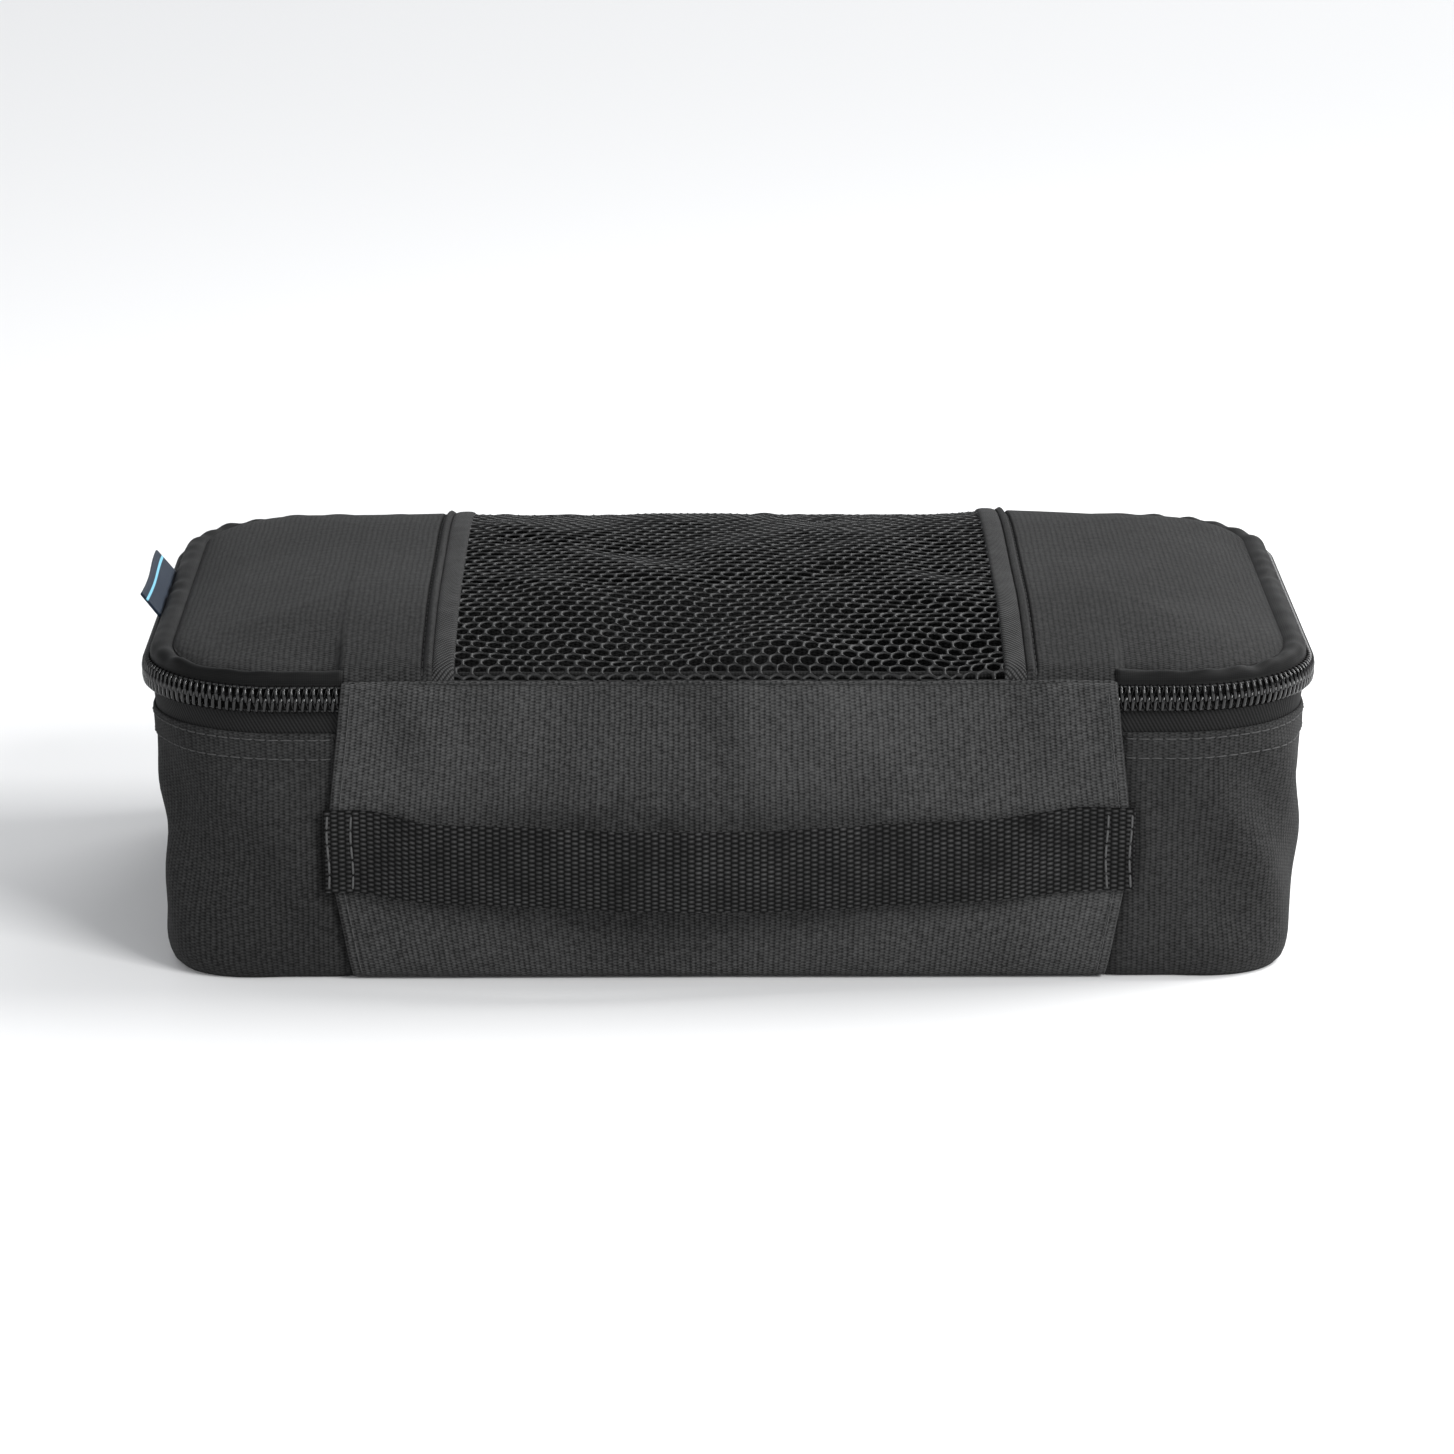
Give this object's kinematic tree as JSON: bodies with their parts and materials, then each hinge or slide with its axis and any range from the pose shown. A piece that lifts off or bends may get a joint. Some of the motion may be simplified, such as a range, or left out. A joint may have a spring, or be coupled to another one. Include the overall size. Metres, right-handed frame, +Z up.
{
  "type": "packing cube",
  "caption": "Zipped fabric packing cube with a mesh window in its fold-back lid, two sliders and a webbing side handle.",
  "frame": {"origin": "middle of the flat base, on the surface that the cube stands on", "axes": "+Z up, +X along the length, -Y towards the front with the handle and the lid's hinge"},
  "size_m": [0.2833, 0.1858, 0.085],
  "materials": {
    "panel_fabric": "charcoal black polyester with a fine vertical dobby rib and a faint sheen",
    "mesh_net": "black hexagonal polyester net, slightly glossy",
    "zip_tape": "black twill zip tape",
    "zip_coil": "black nylon coil, glossy",
    "webbing": "black polypropylene webbing, coarse plain weave",
    "seam_binding": "black woven binding tape",
    "thread": "charcoal polyester sewing thread",
    "label": "blank dark blue woven label with a pale edge line",
    "slider_metal": "black enamelled zinc casting"
  },
  "bodies": {
    "body": {"base_panel": "panel_fabric", "side_gusset": "panel_fabric", "front_panel": "panel_fabric", "base_seam_binding": "seam_binding", "front_seam_binding_left": "seam_binding", "front_seam_binding_right": "seam_binding", "lower_zip_tape": "zip_tape", "lower_zip_coil": "zip_coil", "handle_end_left": "webbing", "handle_end_right": "webbing", "handle_stitching": "thread"},
    "lid": {"lid_left_panel": "panel_fabric", "lid_right_panel": "panel_fabric", "mesh_window": "mesh_net", "window_binding_left": "panel_fabric", "window_binding_right": "panel_fabric", "upper_zip_tape": "zip_tape", "upper_zip_coil": "zip_coil", "lid_seam_binding": "seam_binding", "side_label": "label"},
    "handle": {"handle_strap": "webbing"},
    "left_slider": {"left_slider": "slider_metal"},
    "right_slider": {"right_slider": "slider_metal"},
    "left_pull": {"left_pull": "slider_metal"},
    "right_pull": {"right_pull": "slider_metal"}
  },
  "joints": [
    {"name": "lid_hinge", "type": "hinge", "parent": "body", "child": "lid", "pos_m": [0, -0.0838, 0.074], "axis": [1, 0, 0], "range_deg": [0, 180]},
    {"name": "left_slider_slide", "type": "slide", "parent": "body", "child": "left_slider", "axis": [-1, 0, 0], "range_m": [0, 0.085]},
    {"name": "right_slider_slide", "type": "slide", "parent": "body", "child": "right_slider", "axis": [1, 0, 0], "range_m": [0, 0.085]},
    {"name": "left_pull_swing", "type": "hinge", "parent": "left_slider", "child": "left_pull", "pos_m": [-0.007, 0.08745, 0.07], "axis": [0, 0, -1], "range_deg": [0, 100]},
    {"name": "right_pull_swing", "type": "hinge", "parent": "right_slider", "child": "right_pull", "pos_m": [0.007, 0.08745, 0.07], "axis": [0, 0, 1], "range_deg": [0, 100]},
    {"name": "handle_pull", "type": "slide", "parent": "body", "child": "handle", "axis": [0, -1, 0], "range_m": [0, 0.012]}
  ]
}
